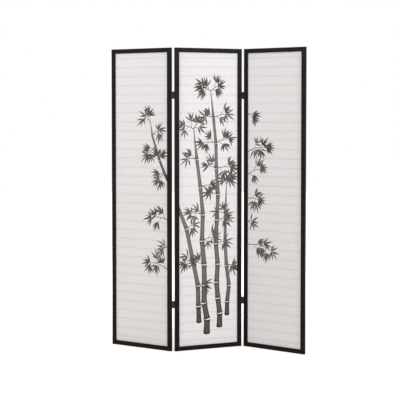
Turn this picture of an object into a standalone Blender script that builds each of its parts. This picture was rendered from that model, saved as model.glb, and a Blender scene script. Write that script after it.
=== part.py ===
"""A three-panel folding shoji screen, in metres, +Z up, with its printed front towards -Y.

Each panel is a grooved wooden frame, two stiles and two tenoned rails, round a paper sheet that
carries a row of thin laths on its back. Double-acting hinges join the panels: each has a leaf let
into either stile's edge, and a link between two upright pins, so that a panel folds either way.
The screen stands in its zigzag. Its origin is on the floor, at the middle of its bounding box.
"""

import math

import bmesh
import bpy
from mathutils import Matrix, Vector

MM = 0.001

# Panel frames
PANEL_HEIGHT = 1785 * MM
PANEL_WIDTH = 430 * MM
FRAME_THICKNESS = 17 * MM
STILE_WIDTH = 26 * MM
RAIL_WIDTH = 26 * MM
EDGE_RADIUS = 1.2 * MM
EDGE_STEPS = 3

# Corner joints and the groove that holds the paper
FIT_GAP = 0.3 * MM
TENON_LENGTH = 15 * MM
TENON_THICKNESS = 6 * MM
TENON_SHOULDER = 5 * MM
GROOVE_DEPTH = 6 * MM

# Paper and the laths glued to its back
PAPER_THICKNESS = 0.5 * MM
LATH_THICKNESS = 1.2 * MM
LATH_WIDTH = 5 * MM
LATH_PITCH = 53.9 * MM

# Hinges
HINGE_TO_END = 277 * MM
PIN_RADIUS = 1.2 * MM
PIN_CLEARANCE = 0.15 * MM
PIN_HEAD_RADIUS = 1.9 * MM
PIN_HEAD_HEIGHT = 1 * MM
BARREL_RADIUS = 2.4 * MM
LEAF_BARREL_HEIGHT = 22 * MM
LINK_BARREL_HEIGHT = 10 * MM
LINK_WEB_THICKNESS = 2 * MM
LEAF_WIDTH = 12 * MM
LEAF_HEIGHT = 74 * MM
LEAF_THICKNESS = 1.4 * MM
LEAF_CORNER_RADIUS = 2 * MM
LEAF_NECK_WIDTH = 3.4 * MM
FOLD_CLEARANCE = 0.5 * MM

# Countersunk leaf screws, one above and one below the barrel
SCREW_HEAD_RADIUS = 3 * MM
SCREW_SHANK_RADIUS = 1.4 * MM
SCREW_LENGTH = 14 * MM
SCREW_POINT_LENGTH = 3 * MM
SCREW_TO_LEAF_END = 9 * MM

# The zigzag in which the screen stands: each fold is shared by its hinge's two pins
CENTRE_YAW = math.radians(22.9)
LEFT_FOLD = math.radians(56.2)
RIGHT_FOLD = math.radians(60.4)

# Cutters run this far past the faces that they open, and united pieces this far into each other
OVERRUN = 2 * MM
SINK = 0.4 * MM

HINGE_SIDES = 16
SCREW_SIDES = 12
SHARP_ANGLE = math.radians(35)

# Sizes that follow from those above
OPENING_WIDTH = PANEL_WIDTH - 2 * STILE_WIDTH
OPENING_HEIGHT = PANEL_HEIGHT - 2 * RAIL_WIDTH
RAIL_LENGTH = OPENING_WIDTH - 2 * FIT_GAP
TENON_HEIGHT = RAIL_WIDTH - GROOVE_DEPTH - TENON_SHOULDER
MAT_THICKNESS = PAPER_THICKNESS + LATH_THICKNESS
GROOVE_WIDTH = MAT_THICKNESS + 2 * FIT_GAP
MAT_REACH = GROOVE_DEPTH - FIT_GAP
PIN_PITCH = FRAME_THICKNESS + FOLD_CLEARANCE
PIN_TO_EDGE = LINK_WEB_THICKNESS / 2 + FIT_GAP
LEAF_INSET = max(0, BARREL_RADIUS + FIT_GAP - PIN_TO_EDGE)
BORE_RADIUS = PIN_RADIUS + PIN_CLEARANCE
GAIN_DEPTH = LEAF_INSET + LEAF_THICKNESS + FIT_GAP
LINK_HEIGHT = LEAF_BARREL_HEIGHT + 2 * (LINK_BARREL_HEIGHT + FIT_GAP)
HINGE_HEIGHTS = {"upper": PANEL_HEIGHT - HINGE_TO_END, "lower": HINGE_TO_END}
SCREW_HEIGHTS = {
    "top": LEAF_HEIGHT / 2 - SCREW_TO_LEAF_END,
    "low": SCREW_TO_LEAF_END - LEAF_HEIGHT / 2,
}

# Colours as sRGB hex, then roughness and metallic
FINISHES = {
    "black_lacquered_wood": ("2A2727", 0.38, 0.0),
    "shoji_paper": ("EAE6E3", 0.85, 0.0),
    "black_hinge_steel": ("2C2A2A", 0.35, 0.6),
}


def clear_scene():
    """Removes every object, so that the model starts from nothing."""
    for obj in list(bpy.data.objects):
        bpy.data.objects.remove(obj)


def linear(hex_colour):
    """An sRGB hex colour as linear red, green, blue and alpha."""
    shares = [int(hex_colour[i:i + 2], 16) / 255 for i in (0, 2, 4)]
    return [s / 12.92 if s <= 0.04045 else ((s + 0.055) / 1.055) ** 2.4 for s in shares] + [1]


def make_materials():
    """One Principled material for each finish."""
    made = {}
    for name, (hex_colour, roughness, metallic) in FINISHES.items():
        material = bpy.data.materials.new(name)
        material.use_nodes = True
        shader = material.node_tree.nodes["Principled BSDF"]
        shader.inputs["Base Color"].default_value = linear(hex_colour)
        shader.inputs["Roughness"].default_value = roughness
        shader.inputs["Metallic"].default_value = metallic
        made[name] = material
    return made


# Shapes, each added to a bmesh

def add_box(bm, low, high):
    """A box from its lowest to its highest corner."""
    low, high = Vector(low), Vector(high)
    place = Matrix.Translation((low + high) / 2) @ Matrix.Diagonal(high - low).to_4x4()
    bmesh.ops.create_cube(bm, size=1, matrix=place)


def add_prism(bm, outline, low, high, turn=Matrix()):
    """A flat outline of x and y points, extruded from z low to z high and then turned."""
    bottom = [bm.verts.new((x, y, low)) for x, y in outline]
    face = bm.faces.new(bottom)
    made = bmesh.ops.extrude_face_region(bm, geom=[face])["geom"]
    top = [v for v in made if isinstance(v, bmesh.types.BMVert)]
    bmesh.ops.translate(bm, verts=top, vec=(0, 0, high - low))
    bmesh.ops.transform(bm, verts=bottom + top, matrix=turn)


def add_turned(bm, profile, sides, turn=Matrix()):
    """A profile of radius and z points, from the axis at the bottom to the axis at the top, turned
    about Z."""
    rings = []
    for radius, z in profile:
        if radius == 0:
            rings.append([bm.verts.new((0, 0, z))])
            continue
        angles = [2 * math.pi * i / sides for i in range(sides)]
        rings.append([bm.verts.new((radius * math.cos(a), radius * math.sin(a), z)) for a in angles])
    for lower, upper in zip(rings, rings[1:]):
        for i in range(sides):
            j = (i + 1) % sides
            corners = [lower[i % len(lower)], lower[j % len(lower)]]
            corners += [upper[j % len(upper)], upper[i % len(upper)]]
            bm.faces.new(list(dict.fromkeys(corners)))
    bmesh.ops.transform(bm, verts=[v for ring in rings for v in ring], matrix=turn)


def arc(centre_x, centre_y, radius, start, end, steps):
    """Points along an arc, from its start angle to its end angle."""
    angles = [start + (end - start) * i / steps for i in range(steps + 1)]
    return [(centre_x + radius * math.cos(a), centre_y + radius * math.sin(a)) for a in angles]


def rounded_outline(width, depth, radius):
    """A rectangle about the origin whose corners are arcs."""
    x, y = width / 2 - radius, depth / 2 - radius
    quarter = math.pi / 2
    points = arc(x, y, radius, 0, quarter, EDGE_STEPS)
    points += arc(-x, y, radius, quarter, 2 * quarter, EDGE_STEPS)
    points += arc(-x, -y, radius, 2 * quarter, 3 * quarter, EDGE_STEPS)
    return points + arc(x, -y, radius, 3 * quarter, 4 * quarter, EDGE_STEPS)


def barrel_arc(centre_x, neck_width, facing):
    """A barrel's outline, open towards its neck. The neck lies at angle 0 plus facing."""
    opening = math.asin(neck_width / 2 / BARREL_RADIUS)
    start, end = facing + opening, facing + 2 * math.pi - opening
    return arc(centre_x, 0, BARREL_RADIUS, start, end, HINGE_SIDES - 2)


# Objects

def make_object(name, bm, material=None, parent=None, location=(0, 0, 0), rotation=(0, 0, 0)):
    """Links a bmesh to the scene as a named object, with its faces out and its curves smooth."""
    bmesh.ops.recalc_face_normals(bm, faces=bm.faces)
    mesh = bpy.data.meshes.new(name)
    bm.to_mesh(mesh)
    bm.free()
    mesh.shade_smooth()
    mesh.set_sharp_from_angle(angle=SHARP_ANGLE)
    if material:
        mesh.materials.append(material)
    obj = bpy.data.objects.new(name, mesh)
    bpy.context.scene.collection.objects.link(obj)
    obj.parent = parent
    obj.location = location
    obj.rotation_euler = rotation
    return obj


def make_joint(name, parent, location, yaw):
    """An empty on a joint's axis, which carries whatever turns about it."""
    empty = bpy.data.objects.new(name, None)
    bpy.context.scene.collection.objects.link(empty)
    empty.parent = parent
    empty.location = location
    empty.rotation_euler = (0, 0, yaw)
    return empty


def combine(obj, tool, operation):
    """A Boolean with a tool modelled in the object's own space, which then stays a hidden guide."""
    tool.parent = obj
    tool.hide_render = True
    tool.display_type = "WIRE"
    modifier = obj.modifiers.new(tool.name, "BOOLEAN")
    modifier.object = tool
    modifier.operation = operation
    modifier.solver = "EXACT"


def cut(obj, label, bm):
    combine(obj, make_object(f"{obj.name}_{label}", bm), "DIFFERENCE")


def unite(obj, label, bm):
    combine(obj, make_object(f"{obj.name}_{label}", bm), "UNION")


# Frame members. Each is a bar along its own Z, its inner edge towards +X

def make_bar(name, width, length, material, parent, location, rotation=(0, 0, 0)):
    bm = bmesh.new()
    outline = rounded_outline(width, FRAME_THICKNESS, EDGE_RADIUS)
    add_prism(bm, outline, -length / 2, length / 2)
    return make_object(name, bm, material, parent, location, rotation)


def cut_groove(bar, width, length):
    """The groove for the paper, ploughed along the bar's inner edge."""
    bm = bmesh.new()
    low = (width / 2 - GROOVE_DEPTH, -GROOVE_WIDTH / 2, -length / 2)
    high = (width / 2 + OVERRUN, GROOVE_WIDTH / 2, length / 2)
    add_box(bm, low, high)
    cut(bar, "groove", bm)


def cut_mortises(stile):
    """A blind mortise at each end of a stile, a fit gap larger than the rail's tenon."""
    outer = PANEL_HEIGHT / 2 - TENON_SHOULDER + FIT_GAP
    inner = PANEL_HEIGHT / 2 - TENON_SHOULDER - TENON_HEIGHT - FIT_GAP
    inside = STILE_WIDTH / 2 - TENON_LENGTH
    half = TENON_THICKNESS / 2 + FIT_GAP
    bm = bmesh.new()
    for low, high in ((inner, outer), (-outer, -inner)):
        add_box(bm, (inside, -half, low), (STILE_WIDTH / 2 + OVERRUN, half, high))
    cut(stile, "mortises", bm)


def cut_hinge_gains(stile):
    """The gains in the stile's outer edge that the hinge leaves and barrels lie in, and the holes
    for the leaves' screws."""
    out_of_edge = Matrix.Rotation(-math.pi / 2, 4, "Y")
    for label, height in HINGE_HEIGHTS.items():
        z = height - PANEL_HEIGHT / 2
        gain = bmesh.new()
        on_edge = Matrix.Translation((-STILE_WIDTH / 2, 0, z)) @ out_of_edge
        add_prism(gain, leaf_outline(FIT_GAP), -GAIN_DEPTH, OVERRUN, on_edge)
        cut(stile, f"{label}_gain", gain)
        holes = bmesh.new()
        for screw_z in SCREW_HEIGHTS.values():
            on_leaf = Matrix.Translation((LEAF_INSET - STILE_WIDTH / 2, 0, z + screw_z))
            add_turned(holes, screw_profile(FIT_GAP), SCREW_SIDES, on_leaf @ out_of_edge)
        cut(stile, f"{label}_screw_holes", holes)


def make_stile(name, side, hinged, materials, parent, centre_x):
    """side is -1 for a panel's left stile and +1 for its right one, as seen from the front."""
    x = centre_x + side * (PANEL_WIDTH - STILE_WIDTH) / 2
    yaw = math.pi if side > 0 else 0
    wood = materials["black_lacquered_wood"]
    place = (x, 0, PANEL_HEIGHT / 2)
    stile = make_bar(name, STILE_WIDTH, PANEL_HEIGHT, wood, parent, place, (0, 0, yaw))
    cut_groove(stile, STILE_WIDTH, PANEL_HEIGHT - 2 * (RAIL_WIDTH - GROOVE_DEPTH))
    cut_mortises(stile)
    if hinged:
        cut_hinge_gains(stile)


def make_rail(name, end, materials, parent, centre_x):
    """end is -1 for the bottom rail and +1 for the top one."""
    z = PANEL_HEIGHT / 2 + end * (PANEL_HEIGHT - RAIL_WIDTH) / 2
    place = (centre_x, 0, z)
    turn = (0, end * math.pi / 2, 0)
    wood = materials["black_lacquered_wood"]
    rail = make_bar(name, RAIL_WIDTH, RAIL_LENGTH, wood, parent, place, turn)
    tenons = bmesh.new()
    reach = OPENING_WIDTH / 2 + TENON_LENGTH - FIT_GAP
    low = (-RAIL_WIDTH / 2 + TENON_SHOULDER, -TENON_THICKNESS / 2, -reach)
    high = (low[0] + TENON_HEIGHT, TENON_THICKNESS / 2, reach)
    add_box(tenons, low, high)
    unite(rail, "tenons", tenons)
    cut_groove(rail, RAIL_WIDTH, RAIL_LENGTH + 2 * OVERRUN)


# Paper and laths

def lath_heights():
    """The laths' middles above the floor: an even row in the opening, and one in either rail's
    groove that holds the sheet's end."""
    count = int(OPENING_HEIGHT // LATH_PITCH)
    first = PANEL_HEIGHT / 2 - (count - 1) * LATH_PITCH / 2
    end = RAIL_WIDTH - MAT_REACH + LATH_WIDTH / 2
    row = [first + i * LATH_PITCH for i in range(count)]
    return [end] + row + [PANEL_HEIGHT - end]


def make_lath_paper(name, materials, parent, centre_x):
    """The sheet and its laths as one section, drawn up the panel and extruded across it. The
    laths lie on the back, and their ends reach into the stiles' grooves with the paper's."""
    front = -MAT_THICKNESS / 2
    sheet_back = front + PAPER_THICKNESS
    lath_back = front + MAT_THICKNESS
    low = RAIL_WIDTH - MAT_REACH
    high = PANEL_HEIGHT - low
    back = []
    for z in lath_heights():
        bottom, top = z - LATH_WIDTH / 2, z + LATH_WIDTH / 2
        back += [(sheet_back, bottom), (lath_back, bottom), (lath_back, top), (sheet_back, top)]
    back[0:1] = []
    back[-1:] = []
    outline = [(front, high), (front, low)] + back
    half = OPENING_WIDTH / 2 + MAT_REACH
    section_upright = Matrix(((0, 0, 1, 0), (1, 0, 0, 0), (0, 1, 0, 0), (0, 0, 0, 1)))
    bm = bmesh.new()
    add_prism(bm, outline, -half, half, section_upright)
    make_object(name, bm, materials["shoji_paper"], parent, (centre_x, 0, 0))


# Hinges. A leaf's own X points out of the stile's edge, which is at x = 0

ALONG_X = Matrix.Rotation(math.pi / 2, 4, "Y")


def leaf_outline(clearance=0):
    """A leaf's plate, or with a clearance the gain that it lies in, upright along x."""
    height = LEAF_HEIGHT + 2 * clearance
    return rounded_outline(height, LEAF_WIDTH + 2 * clearance, LEAF_CORNER_RADIUS + clearance)


def screw_profile(clearance=0):
    """A countersunk screw, its head's face at z = 0 and its point below. With a clearance it is
    the hole for that screw, and runs on out of the face."""
    head = SCREW_HEAD_RADIUS + clearance
    shank = SCREW_SHANK_RADIUS + clearance
    neck = SCREW_SHANK_RADIUS - SCREW_HEAD_RADIUS
    point = -SCREW_LENGTH - clearance
    profile = [(0, point), (shank, point + SCREW_POINT_LENGTH), (shank, neck), (head, 0)]
    if clearance:
        return profile + [(head, OVERRUN), (0, OVERRUN)]
    return profile + [(0, 0)]


def make_leaf(name, materials, parent, location, yaw):
    """A plate with a single barrel at its middle, bored for the pin and for two screws."""
    steel = materials["black_hinge_steel"]
    bm = bmesh.new()
    add_prism(bm, leaf_outline(), -LEAF_INSET - LEAF_THICKNESS, -LEAF_INSET, ALONG_X)
    leaf = make_object(name, bm, steel, parent, location, (0, 0, yaw))
    half = LEAF_BARREL_HEIGHT / 2
    outline = barrel_arc(PIN_TO_EDGE, LEAF_NECK_WIDTH, math.pi)
    root = -LEAF_INSET - SINK
    outline += [(root, LEAF_NECK_WIDTH / 2), (root, -LEAF_NECK_WIDTH / 2)]
    barrel = bmesh.new()
    add_prism(barrel, outline, -half, half)
    unite(leaf, "barrel", barrel)
    bore = bmesh.new()
    reach = half + OVERRUN
    profile = [(0, -reach), (BORE_RADIUS, -reach), (BORE_RADIUS, reach), (0, reach)]
    add_turned(bore, profile, HINGE_SIDES, Matrix.Translation((PIN_TO_EDGE, 0, 0)))
    cut(leaf, "bore", bore)
    holes = bmesh.new()
    for z in SCREW_HEIGHTS.values():
        on_leaf = Matrix.Translation((-LEAF_INSET, 0, z))
        add_turned(holes, screw_profile(FIT_GAP), SCREW_SIDES, on_leaf @ ALONG_X)
    cut(leaf, "screw_holes", holes)
    return leaf


def make_leaf_screws(name, materials, leaf):
    """The two screws through a leaf, in its own space."""
    for label, z in SCREW_HEIGHTS.items():
        bm = bmesh.new()
        add_turned(bm, screw_profile(), SCREW_SIDES, Matrix.Translation((-LEAF_INSET, 0, z)) @ ALONG_X)
        steel = materials["black_hinge_steel"]
        make_object(f"{name}_{label}", bm, steel, leaf.parent, leaf.location, leaf.rotation_euler)


def make_link(name, materials, parent, location):
    """The link between a hinge's two pins: a web with a barrel down either side. Each barrel is
    bored for its pin, and open at its middle, where the leaf's barrel turns."""
    half = LINK_HEIGHT / 2
    bm = bmesh.new()
    outline = barrel_arc(-PIN_PITCH / 2, LINK_WEB_THICKNESS, 0)
    outline += barrel_arc(PIN_PITCH / 2, LINK_WEB_THICKNESS, math.pi)
    add_prism(bm, outline, -half, half)
    link = make_object(name, bm, materials["black_hinge_steel"], parent, location)
    window_radius = BARREL_RADIUS + FIT_GAP
    room = LEAF_BARREL_HEIGHT / 2 + FIT_GAP
    reach = half + OVERRUN
    upper = [(window_radius, room), (BORE_RADIUS, room), (BORE_RADIUS, reach), (0, reach)]
    profile = [(r, -z) for r, z in reversed(upper)] + upper
    for label, x in (("near", -PIN_PITCH / 2), ("far", PIN_PITCH / 2)):
        bore = bmesh.new()
        add_turned(bore, profile, HINGE_SIDES, Matrix.Translation((x, 0, 0)))
        cut(link, f"{label}_bore", bore)


def make_pin(name, materials, parent, location):
    """A plain pin with a low chamfered head at either end, over the link's barrels."""
    shoulder = LINK_HEIGHT / 2 + FIT_GAP
    crown = shoulder + PIN_HEAD_HEIGHT
    rim = shoulder + PIN_HEAD_HEIGHT / 2
    upper = [(PIN_RADIUS, shoulder), (PIN_HEAD_RADIUS, shoulder), (PIN_HEAD_RADIUS, rim)]
    upper += [(PIN_RADIUS, crown), (0, crown)]
    bm = bmesh.new()
    add_turned(bm, [(r, -z) for r, z in reversed(upper)] + upper, HINGE_SIDES)
    make_object(name, bm, materials["black_hinge_steel"], parent, location)


# Assembly

def make_panel(name, hinged_sides, materials, parent, centre_x):
    """One panel, its middle at centre_x in its parent's space. Its sides are -1 and +1."""
    for side, label in ((-1, "left"), (1, "right")):
        stile = f"{name}_{label}_stile"
        make_stile(stile, side, side in hinged_sides, materials, parent, centre_x)
    make_rail(f"{name}_bottom_rail", -1, materials, parent, centre_x)
    make_rail(f"{name}_top_rail", 1, materials, parent, centre_x)
    make_lath_paper(f"{name}_lath_paper", materials, parent, centre_x)


def make_hinges(side, label, materials, centre, link, panel):
    """The upper and lower hinge on one side of the centre panel. The inner leaf is on the centre
    panel's edge, and the outer leaf on the side panel's."""
    inner_yaw = 0 if side > 0 else math.pi
    outer_yaw = math.pi - inner_yaw
    for level, z in HINGE_HEIGHTS.items():
        hinge = f"{label}_{level}_hinge"
        inner = (side * PANEL_WIDTH / 2, 0, z)
        leaf = make_leaf(f"{hinge}_inner_leaf", materials, centre, inner, inner_yaw)
        make_leaf_screws(f"{hinge}_inner_screw", materials, leaf)
        outer = (side * PIN_TO_EDGE, 0, z)
        leaf = make_leaf(f"{hinge}_outer_leaf", materials, panel, outer, outer_yaw)
        make_leaf_screws(f"{hinge}_outer_screw", materials, leaf)
        make_link(f"{hinge}_link", materials, link, (side * PIN_PITCH / 2, 0, z))
        make_pin(f"{hinge}_inner_pin", materials, link, (0, 0, z))
        make_pin(f"{hinge}_outer_pin", materials, link, (side * PIN_PITCH, 0, z))


def yaw_at(x, yaw):
    return Matrix.Translation((x, 0, 0)) @ Matrix.Rotation(yaw, 4, "Z")


def footprint_middle():
    """The middle of the standing screen's bounding box, with the centre panel's middle at zero."""
    centre = Matrix.Rotation(CENTRE_YAW, 4, "Z")
    places = [centre]
    for side, fold in ((-1, LEFT_FOLD), (1, RIGHT_FOLD)):
        link = centre @ yaw_at(side * (PANEL_WIDTH / 2 + PIN_TO_EDGE), -fold / 2)
        panel = link @ yaw_at(side * PIN_PITCH, -fold / 2)
        places.append(panel @ Matrix.Translation((side * (PIN_TO_EDGE + PANEL_WIDTH / 2), 0, 0)))
    outline = rounded_outline(STILE_WIDTH, FRAME_THICKNESS, EDGE_RADIUS)
    shift = (PANEL_WIDTH - STILE_WIDTH) / 2
    section = [(x + side * shift, y, 0) for side in (-1, 1) for x, y in outline]
    points = [place @ Vector(point) for place in places for point in section]
    x_values = [p.x for p in points]
    y_values = [p.y for p in points]
    return Vector((min(x_values) + max(x_values), min(y_values) + max(y_values), 0)) / 2


def main():
    clear_scene()
    materials = make_materials()
    centre = make_joint("centre_panel", None, -footprint_middle(), CENTRE_YAW)
    make_panel("centre", (-1, 1), materials, centre, 0)
    for side, label, fold in ((-1, "left", LEFT_FOLD), (1, "right", RIGHT_FOLD)):
        inner_axis = (side * (PANEL_WIDTH / 2 + PIN_TO_EDGE), 0, 0)
        link = make_joint(f"{label}_link", centre, inner_axis, -fold / 2)
        panel = make_joint(f"{label}_panel", link, (side * PIN_PITCH, 0, 0), -fold / 2)
        make_panel(label, (-side,), materials, panel, side * (PIN_TO_EDGE + PANEL_WIDTH / 2))
        make_hinges(side, label, materials, centre, link, panel)


main()
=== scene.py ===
"""The looks of a three-panel folding shoji screen: satin black frames and hinges, laminated paper
on pale laths, and a bamboo print in ink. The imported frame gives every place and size."""

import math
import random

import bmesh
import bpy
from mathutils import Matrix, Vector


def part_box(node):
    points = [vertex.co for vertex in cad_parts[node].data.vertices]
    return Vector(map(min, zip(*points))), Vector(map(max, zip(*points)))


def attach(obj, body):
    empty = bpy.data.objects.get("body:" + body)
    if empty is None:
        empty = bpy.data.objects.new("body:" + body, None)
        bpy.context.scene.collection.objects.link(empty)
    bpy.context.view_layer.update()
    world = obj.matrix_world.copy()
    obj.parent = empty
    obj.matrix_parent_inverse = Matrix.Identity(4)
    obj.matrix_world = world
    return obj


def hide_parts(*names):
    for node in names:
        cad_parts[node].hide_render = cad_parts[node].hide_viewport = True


bl_info = {
    "name": "Shoji Screen Finish",
    "version": (1, 0, 0),
    "blender": (4, 5, 0),
    "location": "3D View > Sidebar > Shoji Screen",
    "description": "Lacquers the frames, enamels the hinges, hangs the printed paper and sets a stage",
    "category": "Object",
}

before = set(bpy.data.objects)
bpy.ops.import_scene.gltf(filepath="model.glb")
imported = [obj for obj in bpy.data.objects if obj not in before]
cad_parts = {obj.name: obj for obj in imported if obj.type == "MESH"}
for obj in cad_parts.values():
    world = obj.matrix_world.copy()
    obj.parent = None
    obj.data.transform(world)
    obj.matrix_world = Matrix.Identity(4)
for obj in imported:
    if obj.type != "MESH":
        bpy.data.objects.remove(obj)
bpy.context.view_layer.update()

MM = 0.001
NEAR = 0.1 * MM  # places closer than this count as one
WHITE = (1, 1, 1, 1)
SHARP_ANGLE = math.radians(45)
PANELS = ("left", "centre", "right")

# Each square lamp's name, place and aim in metres, power in watts, side in metres and colour.
LAMPS = (
    ("right", (3.4, -3.2, 3.0), (0.1, 0, 1.3), 121, 2.0, "f2f6ff"),
    ("left", (-2.5, -1.8, 2.8), (-0.5, 0, 1.3), 43, 1.6, "eff5ff"),
    ("behind", (-0.6, 4.0, 2.8), (0, 0, 1.0), 70, 2.4, "fcfbf8"),
)

# The camera's place in metres from the centre panel's foot, and its tilt down and turn right in degrees.
# Its focal length is in pixels of a square photo of the width given beside it.
CAMERA_PLACE = (-0.1008, -7.1275, 1.4135)
CAMERA_TILT, CAMERA_TURN = 2.695, 0.412
CAMERA_SHIFT = -0.08
FOCAL_PIXELS, PHOTO_PIXELS = 1204.2, 400


def linear(hex_colour):
    """An sRGB hex colour as linear red, green, blue and alpha."""
    shares = [int(hex_colour[i:i + 2], 16) / 255 for i in (0, 2, 4)]
    return [s / 12.92 if s <= 0.04045 else ((s + 0.055) / 1.055) ** 2.4 for s in shares] + [1.0]


def colour_property(name, description, hex_colour):
    """A colour that the user can change."""
    return bpy.props.FloatVectorProperty(
        name=name, description=description, default=linear(hex_colour), min=0, max=1, size=4,
        subtype="COLOR")


def size_property(name, description, default, least, most):
    """A length that the user can change, written here in millimetres and kept in metres."""
    return bpy.props.FloatProperty(
        name=name, description=description, default=default * MM, min=least * MM, max=most * MM,
        precision=5, subtype="DISTANCE", unit="LENGTH")


class ShojiSizes(bpy.types.PropertyGroup):
    """Sizes of the paper, its laths, the print and the screws, each with its least and its most."""
    paper_cockle: size_property("Paper cockle", "How far the paper waves from flat", 0.12, 0, 0.25)
    lath_rounding: size_property("Lath rounding", "Radius of the laths' long edges", 0.35, 0, 0.6)
    leaf_length: size_property("Leaf length", "Length of the print's longest leaves", 62, 20, 120)
    leaf_width: size_property("Leaf width", "Width of the print's leaves", 9.2, 2, 20)
    cane_width: size_property("Cane width", "Width of the thickest cane at its foot", 44, 6, 60)
    twig_width: size_property("Twig width", "Width of the print's twigs at their cane", 4.6, 1, 8)
    ink_film: size_property("Ink film", "Room that one layer of ink takes", 0.03, 0.005, 0.05)
    recess_width: size_property("Recess width", "Width of the cross in a screw's head", 3.2, 1, 4)
    recess_depth: size_property("Recess depth", "Depth of the cross in a screw's head", 1.1, 0.3, 1.4)


class ShojiColours(bpy.types.PropertyGroup):
    """Colours of the finishes."""
    lacquer: colour_property("Lacquer", "The frames' black lacquer", "0e0b0b")
    lacquer_worn: colour_property("Lacquer, thin", "The lacquer where the grain is raised", "1a1413")
    paper: colour_property("Paper", "The paper between the laths", "e7e6e9")
    # The next colour is painted shade: the paper where a lath behind it shows through.
    lath_shade_on_paper: colour_property("Paper on a lath", "The paper where a lath shows through", "dddad8")
    fibre: colour_property("Fibre", "The paper's long fibres", "efeff0")
    lath: colour_property("Lath", "The laths' pale wood", "d8c09a")
    lath_grain: colour_property("Lath grain", "The darker lines in the laths", "b99a6e")
    ink: colour_property("Ink", "Ink where the brush was full", "29231f")
    ink_dry: colour_property("Dry ink", "Ink where the brush ran dry", "938b86")
    # The next colour is painted shade: the print's ghost on the backs, where the ink stops light through the
    # paper.
    print_shade_through: colour_property("Ink through the paper", "The print's ghost on the backs", "cbc8c6")
    enamel: colour_property("Enamel", "The hinges' black enamel", "121010")
    enamel_thin: colour_property("Enamel, thin", "The hinges' enamel where it is thin", "262322")
    steel: colour_property("Blackened steel", "The steel of the pins and screws", "3b3a39")
    floor: colour_property("Floor", "The studio floor", "f0eae3")
    room_light: colour_property("Room light", "The even light from all sides", "c6bfb6")


def rounded(length):
    """A length to a hundredth of a millimetre, so that corners on one level count as one."""
    return round(length, 5)


class PanelPlane:
    """A panel's own axes, across, back and up from the middle of its foot, and what the frame holds."""

    def __init__(self, name):
        self.name = name
        self.body = name + "_panel"
        left, right = (self.middle(f"{name}_{side}_stile") for side in ("left", "right"))
        self.yaw = math.atan2(right.y - left.y, right.x - left.x)
        foot = (left + right) / 2
        self.origin = Vector((foot.x, foot.y, 0))
        self.matrix = Matrix.Translation(self.origin) @ Matrix.Rotation(self.yaw, 4, "Z")
        stile = self.local_points(f"{name}_left_stile")
        self.half_opening = -max(p.x for p in stile)
        self.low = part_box(f"{name}_bottom_rail")[1].z
        self.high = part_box(f"{name}_top_rail")[0].z
        sheet = self.local_points(f"{name}_lath_paper")
        levels = sorted({rounded(p.y) for p in sheet})
        self.paper_front, self.paper_back, self.laths_back = levels[0], levels[1], levels[-1]
        heights = sorted({rounded(p.z) for p in sheet if self.laths_back - p.y < NEAR})
        self.lath_spans = list(zip(heights[::2], heights[1::2]))
        self.half_sheet = max(p.x for p in sheet)
        self.sheet_low, self.sheet_high = min(p.z for p in sheet), max(p.z for p in sheet)

    @staticmethod
    def middle(node):
        """The middle of a node's box."""
        low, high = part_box(node)
        return (low + high) / 2

    def local_points(self, node):
        """A node's corners in the panel's own axes."""
        inverse = self.matrix.inverted()
        return [inverse @ v.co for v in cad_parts[node].data.vertices]


def connect(tree, node, inputs):
    """Sets a node's inputs. Each takes a value, a socket, or a node whose first live output is used."""
    for name, value in inputs.items():
        if isinstance(value, bpy.types.Node):
            value = next(socket for socket in value.outputs if socket.enabled)
        if isinstance(value, bpy.types.NodeSocket):
            tree.links.new(value, node.inputs[name])
        else:
            node.inputs[name].default_value = value


def add_node(tree, kind, inputs=None, **settings):
    """Adds a node with its settings and inputs."""
    node = tree.nodes.new(kind)
    for name, value in settings.items():
        setattr(node, name, value)
    connect(tree, node, inputs or {})
    return node


def new_material(name, inputs):
    """A material with one Principled shader, whose whole-surface values are set on its own sockets."""
    material = bpy.data.materials.new(name)
    material.use_nodes = True
    shader = material.node_tree.nodes["Principled BSDF"]
    connect(material.node_tree, shader, inputs)
    return material, material.node_tree, shader


def lacquered_pine(plane, part, grain_along, colours):
    """Pine, stained and sprayed with satin black lacquer.

    The eye gets a low sheen, fine raised grain along each bar and a slight brown where the coat is thin.
    """
    material, tree, shader = new_material(
        f"lacquered_pine_{plane.name}_{part}", {"Specular IOR Level": 0.1})
    # The grain's lines, and the patches that the spray gun's passes leave.
    line_width, line_length, pass_width = 0.9 * MM, 70 * MM, 45 * MM
    line_size = [line_length if axis == grain_along else line_width for axis in "xyz"]
    place = add_node(tree, "ShaderNodeTexCoord").outputs["Object"]
    along = add_node(tree, "ShaderNodeMapping", {
        "Vector": place, "Location": plane.origin, "Rotation": (0, 0, plane.yaw), "Scale": line_size},
        vector_type="TEXTURE")
    grain = add_node(tree, "ShaderNodeTexNoise", {
        "Vector": along, "Scale": 1.0, "Detail": 3.0, "Roughness": 0.6, "Distortion": 0.4})
    spray = add_node(tree, "ShaderNodeTexNoise", {"Vector": place, "Scale": 1 / pass_width, "Detail": 2.0})
    raised = add_node(tree, "ShaderNodeMapRange", {"Value": grain, "From Min": 0.45, "From Max": 0.75})
    coat = add_node(tree, "ShaderNodeMix", {
        "Factor": raised, "A": colours.lacquer[:], "B": colours.lacquer_worn[:]}, data_type="RGBA")
    sheen = add_node(tree, "ShaderNodeMapRange", {
        "Value": spray, "From Min": 0.3, "From Max": 0.7, "To Min": 0.42, "To Max": 0.56})
    relief = add_node(tree, "ShaderNodeBump", {"Height": grain, "Strength": 0.25, "Distance": 0.06 * MM})
    connect(tree, shader, {"Base Color": coat, "Roughness": sheen, "Normal": relief})
    return material


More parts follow.
